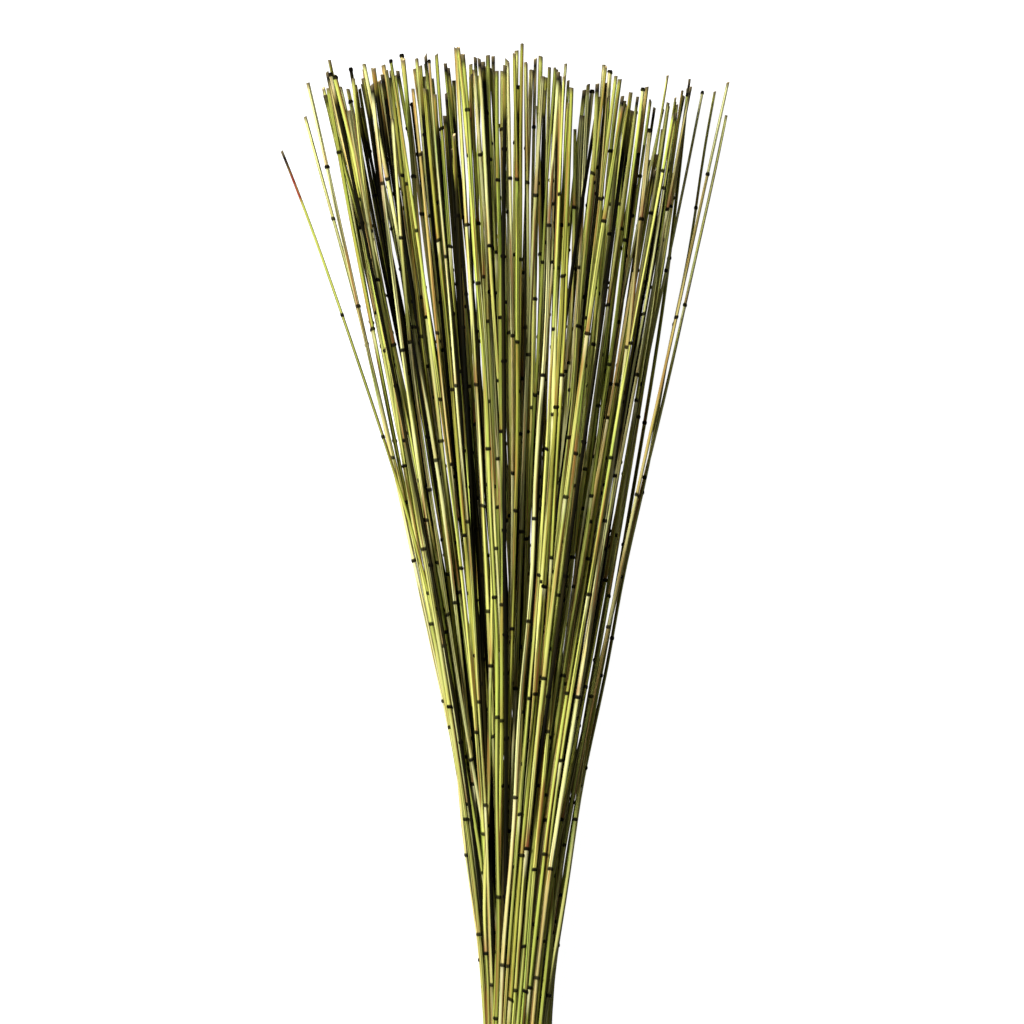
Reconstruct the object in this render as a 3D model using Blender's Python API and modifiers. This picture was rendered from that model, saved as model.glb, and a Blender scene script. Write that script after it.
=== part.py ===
"""A bunch of cut reeds, bound with twine near the butts and lying down.

X runs across the bunch, Y along it towards the tips and Z up, in metres. The reeds' lines are worked out
in the bunch's own measure first: "along" is the distance from the twine towards the tips, "across" and "up"
are the place in the cross-section there.
"""

import math

import bmesh
import bpy
import numpy as np

MM = 0.001

# Reeds
REED_COUNT = 184
SLIM_RADIUS = 1.3 * MM
USUAL_RADIUS = 1.7 * MM
STOUT_RADIUS = 2.1 * MM
TIP_SHARES = (0.78, 1.0)
SLIM_TIP_SHARES = (0.6, 0.75)
SECTION_SIDES = 4
WELD = 0.001 * MM
SHAPE_SEED = 4

# Lengths, measured from the twine
BUTT_LENGTH = 76 * MM
BUTT_UNEVENNESS = 3 * MM
TALLEST = 858 * MM
USUAL_SHORTFALL = 19 * MM
MOST_SHORTFALL = 110 * MM

# Tips that stand out in the crown, from left to right: across and along, in millimetres
CROWN_TIPS = (
    (-199, 779), (-180, 811), (-177, 838), (-165, 836), (-160, 847), (-159, 858), (-150, 837), (-142, 854),
    (-130, 852), (-123, 852), (-114, 857), (-101, 852), (-98, 865), (-85, 861), (-77, 860), (-68, 864),
    (-60, 855), (-51, 864), (-48, 862), (-45, 855), (-35, 863), (-25, 863), (-20, 865), (0, 870), (5, 867),
    (16, 863), (20, 860), (28, 851), (43, 858), (46, 830), (58, 836), (75, 858), (79, 847), (88, 844),
    (92, 822), (106, 832), (111, 836), (128, 844), (131, 821), (148, 844), (159, 834), (170, 835),
    (179, 813), (180, 840),
)
STRAY_BOW = 15 * MM

# Reeds whose tips are beyond these places across have slim tips
SLIM_BEYOND = (-185 * MM, 122 * MM)

# The fan that the reeds open into
FAN_LENGTH = 812 * MM
FAN_BEND = 235 * MM
FAN_SPLAY = 0.242
FAN_RISE = 0.15
RISE_POWER = 2.4
FAN_DROOP = 8 * MM
FAN_TWIST = 0.8
TWIST_LENGTH = 230 * MM
FAN_EDGES = (-172 * MM, 156 * MM)
FAN_RIM = -145 * MM
LEVEL_REACH = 0.97

# How evenly the reeds spread across the fan: 0 is as a disc looks from the side, 1 is the same everywhere
LEVELLING = 0.7

# How far from the twine's middle its thickness under the bunch still lifts the reeds
SETTLE_LENGTH = 90 * MM

# How the reeds stray from the even fan: a normal spread and its limit, across and up. A reed has a few
# draws and takes the one that others crowd least, within a reach across, at these distances along
LEAN_SPREAD = (28 * MM, 9 * MM)
MOST_LEAN = (75 * MM, 22 * MM)
BOW_SPREAD = (5 * MM, 2 * MM)
LEAN_DRAWS = 10
CROWD_REACH = 4 * MM
CROWD_LEVELS = (340 * MM, 480 * MM, 620 * MM, 730 * MM, 820 * MM)

# Places along a reed, besides its two ends, where its line may turn
TURNS = (0, 130 * MM, 400 * MM)
TIE_TURN = 1 + TURNS.index(0)

# Drawing the reeds together at the twine: how far out they start, then how fast and for how long
START_REACH = 34 * MM
FIRST_DRAW = 0.004
DRAW_ROUNDS = 600
SETTLE_ROUNDS = 200
NUDGE = 0.45

# How close reeds may lie, and how they push each other apart
PACKING_GAP = 0.22 * MM
CLEARANCE = 0.15 * MM
FLOOR_GAP = 0.05 * MM
CHECK_STEP = 12 * MM
NEAR = 12 * MM
PUSH_ROUNDS = 200
PUSH_STRENGTH = 1.6
STEADY_SHARE = 0.25

# Sheaves: inner reeds that the twine presses into one another
OUTER_REEDS = 40
SHEAF_RINGS = ((0, 1), (10.5 * MM, 6), (19 * MM, 12))
PRESSED_SHARE = 0.6

# Twine
TWINE_RADIUS = 1.1 * MM
TWINE_TURNS = 4
TWINE_GROOVE = 0.35 * MM
TWINE_GAP = 0.3 * MM
TWINE_SINK = 0.6 * MM
TWINE_STEPS = 20
KNOT_SIZE = (4.5 * MM, 3.6 * MM, 2.4 * MM)
KNOT_RINGS = 2

# The twine's two tails: across, along and up from the top of its turns, in millimetres
TAIL_ROUTES = {
    "left_tail": ((-1, 0, 1.1), (-4, 8, 1.1), (-8, 20, -1.0), (-10, 32, -2.4)),
    "right_tail": ((1, 0, 1.1), (4, 6.4, 1.1), (8, 16, -1.0), (10, 25.6, -2.4)),
}


def smooth_step(share):
    share = np.clip(share, 0, 1)
    return share * share * (3 - 2 * share)


def opening(along):
    """How far the fan has opened: a hyperbola, flat at the twine and straight beyond FAN_BEND."""
    return np.sqrt(along**2 + FAN_BEND**2) - FAN_BEND


def radius_at(radii, tip_shares, along):
    return radii * (1 - (1 - tip_shares) * np.clip(along / FAN_LENGTH, 0, 1))


def packed_spots(radii):
    """The reeds' places at the twine: discs drawn together and pushed apart until none overlap."""
    index = np.arange(len(radii)) + 0.5
    turn = index * math.pi * (3 - math.sqrt(5))
    reach = np.sqrt(index / len(radii)) * START_REACH
    spots = np.stack([reach * np.cos(turn), reach * np.sin(turn)], axis=1)
    need = radii[:, None] + radii + PACKING_GAP
    np.fill_diagonal(need, 0)
    for squeeze in np.append(np.linspace(FIRST_DRAW, 0, DRAW_ROUNDS), np.zeros(SETTLE_ROUNDS)):
        spots = spots * (1 - squeeze)
        between = spots[:, None] - spots
        apart = np.sqrt((between**2).sum(2)) + 1e-9
        push = np.clip(need - apart, 0, None) / apart
        spots = spots + NUDGE * (between * push[..., None]).sum(1)
    return spots


def fanned(spots, along, bundle_radius):
    """Across and up for each reed at each distance along, in a bunch that opens evenly."""
    turn = FAN_TWIST * np.tanh(along / TWIST_LENGTH)
    across = spots[:, :1] * np.cos(turn) + spots[:, 1:] * np.sin(turn)
    up = spots[:, 1:] * np.cos(turn) - spots[:, :1] * np.sin(turn)
    share = np.clip(across / (LEVEL_REACH * bundle_radius), -1, 1)
    spread_out = (np.arcsin(share) + share * np.sqrt(1 - share**2)) * 2 / math.pi
    level = share + LEVELLING * (spread_out - share)
    opened = opening(along)
    height_share = np.clip((up / bundle_radius + 1) / 2, 0, 1)
    rise = opened * (FAN_RISE * height_share**RISE_POWER - FAN_DROOP / opening(FAN_LENGTH))
    settled = smooth_step(np.abs(along) / SETTLE_LENGTH)
    lift = (TWINE_GAP + 2 * TWINE_RADIUS - TWINE_SINK) * (1 - settled)
    return np.stack([across + FAN_SPLAY * opened * level, up + bundle_radius + rise + lift], axis=2)


def leans_and_bows(rng, spots, bundle_radius):
    """How far each reed's tip leans and its middle bows, across and up, away from the even fan.

    Leans are turned back at the fan's edges, and reeds at its left rim bow inwards. Of several draws, a reed
    takes the one whose line is the least crowded, seen from above, by the reeds before it.
    """
    levels = np.array(CROWD_LEVELS)
    opened = opening(levels) / opening(TALLEST)
    even = fanned(spots, levels, bundle_radius)[..., 0]
    ends = fanned(spots, np.array([TALLEST]), bundle_radius)[:, 0, 0]
    lines = np.full((REED_COUNT, len(levels)), np.inf)
    lean, bow = np.zeros((2, REED_COUNT, 2))
    for reed in range(REED_COUNT):
        leant = np.clip(rng.normal(0, LEAN_SPREAD, (LEAN_DRAWS, 2)), np.negative(MOST_LEAN), MOST_LEAN)
        past = ends[reed] + leant[:, 0]
        leant[:, 0] -= 2 * (past - np.clip(past, *FAN_EDGES))
        bowed = rng.normal(0, BOW_SPREAD, (LEAN_DRAWS, 2))
        across = even[reed] + opened * leant[:, :1] + 4 * opened * (1 - opened) * bowed[:, :1]
        crowd = np.clip(1 - np.abs(across[:, None] - lines) / CROWD_REACH, 0, 1).sum((1, 2))
        best = np.argmin(crowd)
        lean[reed], bow[reed], lines[reed] = leant[best], bowed[best], across[best]
    rim = ends < FAN_RIM
    bow[rim, 0] = np.abs(bow[rim, 0])
    return lean, bow


def crown_reeds(spots, lean, bundle_radius):
    """The reed that ends at each tip of CROWN_TIPS: the nearest that is still free, outermost tips first."""
    chosen = {}
    for across, along in sorted(np.array(CROWN_TIPS) * MM, key=lambda tip: -abs(tip[0])):
        miss = np.abs(fanned(spots, np.array([along]), bundle_radius)[:, 0, 0] + lean[:, 0] - across)
        miss[list(chosen)] = math.inf
        chosen[int(np.argmin(miss))] = (across, along)
    return chosen


def first_lines(rng, radii, spots):
    """Distances along of each reed's turns, and its across and up at them, before the reeds are parted."""
    bundle_radius = bundle_radius_of(radii, spots)
    lean, bow = leans_and_bows(rng, spots, bundle_radius)
    crown = crown_reeds(spots, lean, bundle_radius)
    at_tips = fanned(spots, np.array([TALLEST]), bundle_radius)[:, 0, 0] + lean[:, 0]
    skyline = np.minimum(np.interp(at_tips, *(np.array(CROWN_TIPS).T * MM)), TALLEST)
    tips = skyline - np.minimum(rng.exponential(USUAL_SHORTFALL, REED_COUNT), MOST_SHORTFALL)
    for reed, (across, along) in crown.items():
        tips[reed] = along
        lean[reed, 0] = across - fanned(spots[[reed]], np.array([along]), bundle_radius)[0, 0, 0]
    stray = min(crown, key=lambda reed: crown[reed][0])
    bow[stray] = (STRAY_BOW, 0)
    butts = rng.uniform(-1, 1, REED_COUNT) * BUTT_UNEVENNESS - BUTT_LENGTH
    turns = np.column_stack([butts, np.tile(TURNS, (REED_COUNT, 1)), tips])
    places = np.stack([fanned(spots, column, bundle_radius)[np.arange(REED_COUNT), np.arange(REED_COUNT)]
                       for column in turns.T], axis=1)
    opened = opening(turns) / opening(tips)[:, None]
    places += (opened * np.sign(turns))[..., None] * lean[:, None]
    places += (4 * opened * (1 - opened))[..., None] * bow[:, None]
    return turns, places, np.array(list(crown))


def bundle_radius_of(radii, spots):
    return float((np.hypot(*spots.T) + radii).max())


def slim_tips(rng, places):
    """Each reed's girth at the fan's end, as a share of its girth at the twine: least at the fan's edges."""
    ends = places[:, -1, 0]
    edge = (ends < SLIM_BEYOND[0]) | (ends > SLIM_BEYOND[1])
    low, high = np.where(edge[:, None], SLIM_TIP_SHARES, TIP_SHARES).T
    return rng.uniform(low, high)


def parted(radii, tip_shares, turns, places, crown, groups):
    """The reeds' places once reeds of different groups have pushed each other apart, and off the floor."""
    checks = np.arange(turns.min(), turns.max(), CHECK_STEP)
    weights = np.array([[np.interp(checks, row, unit) for unit in np.eye(turns.shape[1])] for row in turns])
    present = (checks >= turns[:, :1]) & (checks <= turns[:, -1:])
    girth = radius_at(radii[:, None], tip_shares[:, None], checks)
    lowest = radius_at(radii[:, None], tip_shares[:, None], turns) + FLOOR_GAP
    places[..., 1] = np.maximum(places[..., 1], lowest)
    lines = np.einsum("rtk,rtc->rck", weights, places)
    one, other = np.triu_indices(REED_COUNT, 1)
    near = np.hypot(*np.moveaxis(lines[one] - lines[other], 1, 0)).min(1) < NEAR
    one, other = one[near], other[near]
    slant = np.sqrt(1 + (np.gradient(lines, checks, axis=2) ** 2).sum(1))
    need = (girth * slant)[one] + (girth * slant)[other] + CLEARANCE
    need *= present[one] & present[other] & (groups[one] != groups[other])[:, None]
    for _ in range(PUSH_ROUNDS):
        lines = np.einsum("rtk,rtc->rck", weights, places)
        between = lines[one] - lines[other]
        apart = np.hypot(between[:, 0], between[:, 1]) + 1e-9
        overlap = np.clip(need - apart, 0, None)
        push = between * (overlap / apart / 2)[:, None]
        pushed = np.zeros_like(lines)
        np.add.at(pushed, one, push)
        np.add.at(pushed, other, -push)
        touched = np.zeros_like(girth)
        np.add.at(touched, one, overlap > 0)
        np.add.at(touched, other, overlap > 0)
        share = np.einsum("rtk,rk->rt", weights, np.minimum(touched, 1)) + STEADY_SHARE
        step = PUSH_STRENGTH * np.einsum("rtk,rck->rtc", weights, pushed) / share[..., None]
        step[:, TIE_TURN] = 0
        step[crown, -1, 0] = 0
        places = places + step
        places[..., 1] = np.maximum(places[..., 1], lowest)
    return places


def sheaf_members(spots):
    """Indices of the outer reeds, in order round the bunch, and one list of indices for each sheaf."""
    reach = np.hypot(*spots.T)
    outer = np.argsort(-reach)[:OUTER_REEDS]
    outer = outer[np.argsort(np.arctan2(*spots[outer].T))]
    middles = np.array([
        (distance * math.cos(2 * math.pi * k / count), distance * math.sin(2 * math.pi * k / count))
        for distance, count in SHEAF_RINGS for k in range(count)
    ])
    inner = np.setdiff1d(np.arange(REED_COUNT), outer)
    nearest = np.argmin(np.hypot(*np.moveaxis(spots[inner][:, None] - middles, 2, 0)), axis=1)
    return outer, [inner[nearest == k] for k in range(len(middles))]


def pressed(places, sheaves):
    """The places with each sheaf's reeds drawn together at the twine, and the group that each reed is in."""
    places = places.copy()
    groups = np.arange(REED_COUNT)
    for members in sheaves:
        middle = places[members, TIE_TURN].mean(0)
        places[members, TIE_TURN] = middle + (places[members, TIE_TURN] - middle) * PRESSED_SHARE
        groups[members] = members[0]
    return places, groups


def lay_out():
    """Each reed's points and girths at its turns, the outer reeds, the sheaves and the bundle's radius."""
    rng = np.random.default_rng(SHAPE_SEED)
    radii = rng.triangular(SLIM_RADIUS, USUAL_RADIUS, STOUT_RADIUS, REED_COUNT)
    spots = packed_spots(radii)
    turns, places, crown = first_lines(rng, radii, spots)
    tip_shares = slim_tips(rng, places)
    places = parted(radii, tip_shares, turns, places, crown, np.arange(REED_COUNT))
    outer, sheaves = sheaf_members(spots)
    places, groups = pressed(places, sheaves)
    places = parted(radii, tip_shares, turns, places, crown, groups)
    points = np.stack([places[..., 0], turns, places[..., 1]], axis=2)
    girths = radius_at(radii[:, None], tip_shares[:, None], turns)
    return points, girths, outer, sheaves, bundle_radius_of(radii, spots)


def clear_scene():
    for thing in list(bpy.data.objects):
        bpy.data.objects.remove(thing, do_unlink=True)


def make_collection(name):
    collection = bpy.data.collections.new(name)
    bpy.context.scene.collection.children.link(collection)
    return collection


def make_material(name, colour, roughness):
    material = bpy.data.materials.new(name)
    material.use_nodes = True
    shader = material.node_tree.nodes["Principled BSDF"]
    shader.inputs["Base Color"].default_value = (*colour, 1)
    shader.inputs["Roughness"].default_value = roughness
    shader.inputs["Metallic"].default_value = 0
    return material


def make_section(sides, helpers):
    """An outline to sweep a reed with: a regular polygon of radius 1."""
    data = bpy.data.curves.new("section", "CURVE")
    data.dimensions = "2D"
    spline = data.splines.new("POLY")
    spline.points.add(sides - 1)
    for k, point in enumerate(spline.points):
        turn = -2 * math.pi * k / sides
        point.co = (math.cos(turn), math.sin(turn), 0, 1)
    spline.use_cyclic_u = True
    section = bpy.data.objects.new("section", data)
    section.hide_render = True
    helpers.objects.link(section)
    return section


def make_tube(name, points, radii, section, collection):
    """A curve through the points, as thick as radii says, with closed ends."""
    data = bpy.data.curves.new(name, "CURVE")
    data.dimensions = "3D"
    data.bevel_mode = "OBJECT"
    data.bevel_object = section
    data.use_fill_caps = True
    spline = data.splines.new("POLY")
    spline.points.add(len(points) - 1)
    for corner, point, radius in zip(spline.points, points, radii):
        corner.co = (*point, 1)
        corner.radius = radius
    tube = bpy.data.objects.new(name, data)
    collection.objects.link(tube)
    return tube


def as_meshes(tubes, collection):
    """The tubes as mesh objects with their caps welded on; the curves are removed."""
    graph = bpy.context.evaluated_depsgraph_get()
    meshes = [bpy.data.meshes.new_from_object(tube.evaluated_get(graph)) for tube in tubes]
    solids = []
    for tube, mesh in zip(tubes, meshes):
        shell = bmesh.new()
        shell.from_mesh(mesh)
        bmesh.ops.remove_doubles(shell, verts=shell.verts, dist=WELD)
        shell.to_mesh(mesh)
        shell.free()
        name, place = tube.name, tube.matrix_world.copy()
        bpy.data.objects.remove(tube, do_unlink=True)
        solid = bpy.data.objects.new(name, mesh)
        solid.matrix_world = place
        collection.objects.link(solid)
        solids.append(solid)
    return solids


def fuse(target, others, helpers):
    """Joins the others to the target as one solid."""
    group = bpy.data.collections.new(target.name + "_joined")
    helpers.children.link(group)
    for other in others:
        for holder in list(other.users_collection):
            holder.objects.unlink(other)
        group.objects.link(other)
        other.hide_render = True
        other.display_type = "WIRE"
    union = target.modifiers.new("fused", "BOOLEAN")
    union.operation = "UNION"
    union.operand_type = "COLLECTION"
    union.collection = group
    union.solver = "EXACT"


def make_twine(bundle_radius, section, helpers, collection):
    """Turns of twine side by side round the bunch, flat where they lie on the floor, with a knot on top.

    The ring is a polygon, so its corners stand out far enough for its flats' middles to clear the reeds.
    """
    flat_reach = bundle_radius + TWINE_GAP
    middle = flat_reach + 2 * TWINE_RADIUS - TWINE_SINK
    inner = flat_reach / math.cos(math.pi / TWINE_STEPS)
    outer = inner + 2 * TWINE_RADIUS
    half_width = TWINE_TURNS * TWINE_RADIUS
    ridges = np.linspace(half_width, -half_width, 2 * TWINE_TURNS + 1)
    profile = [(inner, half_width)]
    profile += [(outer - TWINE_GROOVE * (k % 2 == 0), place) for k, place in enumerate(ridges)]
    profile += [(inner, -half_width)]
    outline = bmesh.new()
    corners = [outline.verts.new((reach, 0, place)) for reach, place in profile]
    for k, corner in enumerate(corners):
        outline.edges.new((corners[k - 1], corner))
    mesh = bpy.data.meshes.new("twine")
    outline.to_mesh(mesh)
    outline.free()
    twine = bpy.data.objects.new("twine", mesh)
    twine.location = (0, 0, middle)
    twine.rotation_euler = (math.pi / 2, 0, 0)
    collection.objects.link(twine)
    ring = twine.modifiers.new("turned", "SCREW")
    ring.steps = TWINE_STEPS
    ring.render_steps = TWINE_STEPS
    ring.use_merge_vertices = True
    ring.merge_threshold = WELD
    floor = make_floor_cutter(outer, helpers)
    flat = twine.modifiers.new("flat_underside", "BOOLEAN")
    flat.operation = "DIFFERENCE"
    flat.object = floor
    flat.solver = "EXACT"
    top = middle + outer
    lifted = (0, 0, top + KNOT_SIZE[2] / 2)
    bpy.ops.mesh.primitive_ico_sphere_add(subdivisions=KNOT_RINGS, radius=1, location=lifted)
    knot = bpy.context.object
    knot.name = "knot"
    knot.scale = KNOT_SIZE
    tails = []
    for name, route in TAIL_ROUTES.items():
        route = np.array(route) * MM + (0, 0, top)
        tails.append(make_tube(name, route, [TWINE_RADIUS] * len(route), section, collection))
    bpy.context.view_layer.update()
    fuse(twine, [knot, *as_meshes(tails, collection)], helpers)
    return twine


def make_floor_cutter(reach, helpers):
    """A block under the floor's level, which cuts the twine flat."""
    bpy.ops.mesh.primitive_cube_add(size=1, location=(0, 0, -reach / 4))
    block = bpy.context.object
    block.name = "floor_cutter"
    block.scale = (reach, reach, reach / 2)
    block.hide_render = True
    block.display_type = "WIRE"
    for holder in list(block.users_collection):
        holder.objects.unlink(block)
    helpers.objects.link(block)
    return block


def centre_on_floor(nodes, others):
    """Parents everything to an empty, moved so that the nodes' bounding box is centred over the origin."""
    bpy.context.view_layer.update()
    graph = bpy.context.evaluated_depsgraph_get()
    corners = []
    for node in nodes:
        solid = node.evaluated_get(graph)
        mesh = solid.to_mesh()
        flat = np.empty(len(mesh.vertices) * 3)
        mesh.vertices.foreach_get("co", flat)
        turned = np.array(solid.matrix_world)
        corners.append(flat.reshape(-1, 3) @ turned[:3, :3].T + turned[:3, 3])
        solid.to_mesh_clear()
    corners = np.concatenate(corners)
    low, high = corners.min(0), corners.max(0)
    base = bpy.data.objects.new("bunch_base", None)
    bpy.context.scene.collection.objects.link(base)
    for thing in [*nodes, *others]:
        thing.parent = base
    base.location = (-(low[0] + high[0]) / 2, -(low[1] + high[1]) / 2, -low[2])


def main():
    clear_scene()
    bunch = make_collection("bunch_of_reeds")
    helpers = make_collection("helpers")
    helpers.hide_render = True
    points, girths, outer, sheaves, bundle_radius = lay_out()
    section = make_section(SECTION_SIDES, helpers)
    outer_look = make_material("reed", (0.27, 0.25, 0.08), 0.55)
    inner_look = make_material("inner_reed", (0.16, 0.15, 0.05), 0.6)
    for number, reed in enumerate(outer, 1):
        tube = make_tube(f"reed_{number:02d}", points[reed], girths[reed], section, bunch)
        tube.data.materials.append(outer_look)
    tubes = {reed: make_tube(f"inner_{reed}", points[reed], girths[reed], section, bunch)
             for members in sheaves for reed in members}
    solids = dict(zip(tubes, as_meshes(list(tubes.values()), bunch)))
    for number, members in enumerate(sheaves, 1):
        first, *others = [solids[reed] for reed in members]
        first.name = f"sheaf_{number:02d}"
        first.data.materials.append(inner_look)
        fuse(first, others, helpers)
    twine = make_twine(bundle_radius, section, helpers, bunch)
    twine.data.materials.append(make_material("jute_twine", (0.42, 0.29, 0.15), 0.9))
    centre_on_floor(list(bunch.all_objects), list(helpers.all_objects))


if __name__ == "__main__":
    main()
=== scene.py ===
"""A bunch of dried reeds, as a Blender scene: jointed stems, jute twine, a pale floor and soft light.

The reeds' lines come from the same rules as the solids: "along" is the distance from the twine towards the tips,
"across" and "up" are the place in the cross-section there. All lengths are in metres.
"""

import functools
import math

import bpy
import numpy as np
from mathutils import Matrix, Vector


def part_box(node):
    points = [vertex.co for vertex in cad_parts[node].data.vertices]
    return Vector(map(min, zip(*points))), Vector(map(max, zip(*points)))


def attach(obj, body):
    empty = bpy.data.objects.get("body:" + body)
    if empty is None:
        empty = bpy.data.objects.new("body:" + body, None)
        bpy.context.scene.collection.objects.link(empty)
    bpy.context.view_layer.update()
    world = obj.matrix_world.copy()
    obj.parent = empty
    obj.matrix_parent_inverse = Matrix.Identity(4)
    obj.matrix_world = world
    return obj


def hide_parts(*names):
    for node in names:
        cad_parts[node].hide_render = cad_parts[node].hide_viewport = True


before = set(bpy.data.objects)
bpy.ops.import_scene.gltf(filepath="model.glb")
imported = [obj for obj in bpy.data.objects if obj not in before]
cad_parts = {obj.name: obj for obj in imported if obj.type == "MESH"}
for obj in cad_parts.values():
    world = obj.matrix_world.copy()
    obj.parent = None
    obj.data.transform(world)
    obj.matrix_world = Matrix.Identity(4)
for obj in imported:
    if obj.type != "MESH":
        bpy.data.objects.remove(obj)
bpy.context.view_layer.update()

bl_info = {
    "name": "Bunch of Reeds",
    "version": (1, 0, 0),
    "blender": (4, 5, 0),
    "location": "3D View > Sidebar > Reeds",
    "description": "Makes a bound bunch of dried reeds, and a plain studio round it",
    "category": "Object",
}

MM = 0.001

# The rules of the solids, repeated: reeds
REED_COUNT = 184
SLIM_RADIUS = 1.3 * MM
USUAL_RADIUS = 1.7 * MM
STOUT_RADIUS = 2.1 * MM
TIP_SHARES = (0.78, 1.0)
SLIM_TIP_SHARES = (0.6, 0.75)
SLIM_BEYOND = (-185 * MM, 122 * MM)
SHAPE_SEED = 4
BUTT_LENGTH = 76 * MM
BUTT_UNEVENNESS = 3 * MM
TALLEST = 858 * MM
USUAL_SHORTFALL = 19 * MM
MOST_SHORTFALL = 110 * MM
CROWN_TIPS = (
    (-199, 779), (-180, 811), (-177, 838), (-165, 836), (-160, 847), (-159, 858), (-150, 837), (-142, 854),
    (-130, 852), (-123, 852), (-114, 857), (-101, 852), (-98, 865), (-85, 861), (-77, 860), (-68, 864),
    (-60, 855), (-51, 864), (-48, 862), (-45, 855), (-35, 863), (-25, 863), (-20, 865), (0, 870), (5, 867),
    (16, 863), (20, 860), (28, 851), (43, 858), (46, 830), (58, 836), (75, 858), (79, 847), (88, 844),
    (92, 822), (106, 832), (111, 836), (128, 844), (131, 821), (148, 844), (159, 834), (170, 835),
    (179, 813), (180, 840),
)
STRAY_BOW = 15 * MM

# The rules of the solids, repeated: the fan
FAN_LENGTH = 812 * MM
FAN_BEND = 235 * MM
FAN_SPLAY = 0.242
FAN_RISE = 0.15
RISE_POWER = 2.4
FAN_DROOP = 8 * MM
FAN_TWIST = 0.8
TWIST_LENGTH = 230 * MM
FAN_EDGES = (-172 * MM, 156 * MM)
FAN_RIM = -145 * MM
LEVEL_REACH = 0.97
LEVELLING = 0.7
LEAN_SPREAD = (28 * MM, 9 * MM)
MOST_LEAN = (75 * MM, 22 * MM)
BOW_SPREAD = (5 * MM, 2 * MM)
LEAN_DRAWS = 10
CROWD_REACH = 4 * MM
CROWD_LEVELS = (340 * MM, 480 * MM, 620 * MM, 730 * MM, 820 * MM)
TURNS = (0, 130 * MM, 400 * MM)
TIE_TURN = 1 + TURNS.index(0)
START_REACH = 34 * MM
FIRST_DRAW = 0.004
DRAW_ROUNDS = 600
SETTLE_ROUNDS = 200
NUDGE = 0.45
PACKING_GAP = 0.22 * MM
CLEARANCE = 0.15 * MM
FLOOR_GAP = 0.05 * MM
CHECK_STEP = 12 * MM
NEAR = 12 * MM
PUSH_ROUNDS = 200
PUSH_STRENGTH = 1.6
STEADY_SHARE = 0.25
OUTER_REEDS = 40
SHEAF_RINGS = ((0, 1), (10.5 * MM, 6), (19 * MM, 12))

# The rules of the solids, repeated: twine
TWINE_RADIUS = 1.1 * MM
TWINE_TURNS = 4
TWINE_GAP = 0.3 * MM
TWINE_SINK = 0.6 * MM
TAIL_ROUTES = {
    "left_tail": ((-1, 0, 1.1), (-4, 8, 1.1), (-8, 20, -1.0), (-10, 32, -2.4)),
    "right_tail": ((1, 0, 1.1), (4, 6.4, 1.1), (8, 16, -1.0), (10, 25.6, -2.4)),
}
SETTLE_LENGTH = 90 * MM

# Joints of a stem: millimetres from the joint's middle towards the tip, then the stem's girth, the dark band, the
# pale stretch under it and the reddish one above it, each as a share
JOINT_PROFILE = (
    (-26, 1.0, 0, 0, 0), (-9, 0.99, 0, 0.8, 0), (-1.9, 1.0, 0, 1, 0), (-1.3, 1.18, 1, 0.4, 0), (-0.5, 1.3, 1, 0, 0),
    (0.6, 1.26, 1, 0, 0.3), (1.4, 1.06, 0.9, 0, 0.8), (2.0, 0.98, 0, 0, 1), (24, 1.0, 0, 0, 0),
)
REED_SIDES = 12
RING_STEP = 24 * MM
TIP_ROWS = (6 * MM, 12 * MM, 18 * MM, 30 * MM, 46 * MM)
COLLAR_DRAWN = 0.3
JOINT_TILT = 0.2
KNOB_BACK = 1.6 * MM
KNOB_GIRTH = 1.2
PITH_SHARE = 0.6
PITH_DEPTH = 4 * MM
DARK_TIP_LENGTHS = (4 * MM, 26 * MM)
# How far from its tip a dark reed turns lighter: painted light where the tips come out of the bunch's shade
LIT_TIP_LENGTHS = (25 * MM, 80 * MM)
TIP_SHADE_PULL = 1.7
WOBBLE = 0.5 * MM
WOBBLE_FADE = 120 * MM
WOBBLE_LENGTHS = (180 * MM, 330 * MM)
LOOKS_SEED = 5
LIT_KINDS = (0.36, 0.97)
STRAY_KIND = 0.55
STRAY_DARK_TIP = 24 * MM
STRAY_RED_TIP = 40 * MM
STRAY_RED = 4

# Every reed's UV starts this far beyond the last one's, so that no two reeds share their streaks
UV_ROW = 1.37

# Twine
STRANDS = 3
TWINE_SIDES = 12
TWINE_STEP = 0.7 * MM
TWIST_PITCH = 9 * MM
LOBE_DEPTH = 0.3
KNOT_SCALE = np.array((1.5, 1.3, 1.4)) * MM
KNOT_LIFT = np.array((0, 0, 1.4)) * MM
FIBRE_LENGTHS = (1.5 * MM, 4 * MM)
FIBRE_RADIUS = 0.05 * MM

# Studio
FLOOR_REACH = 9.0
KEY_PLACE = (-1.5, 0.6, 2.1)
KEY_SIZE = 0.7
CAMERA_LENS = 200
CAMERA_SENSOR = 36
FOCUS_HEIGHT = 45 * MM

# The photograph's frame, in pixels of it
PICTURE_SIZE = 1024
TWINE_ROW = 1070
MIDDLE_COLUMN = 516.5
PIXEL = 0.85 * MM


def smooth_step(share):
    share = np.clip(share, 0, 1)
    return share * share * (3 - 2 * share)


def opening(along):
    """How far the fan has opened: a hyperbola, flat at the twine and straight beyond FAN_BEND."""
    return np.sqrt(along**2 + FAN_BEND**2) - FAN_BEND


def radius_at(radii, tip_shares, along):
    return radii * (1 - (1 - tip_shares) * np.clip(along / FAN_LENGTH, 0, 1))


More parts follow.
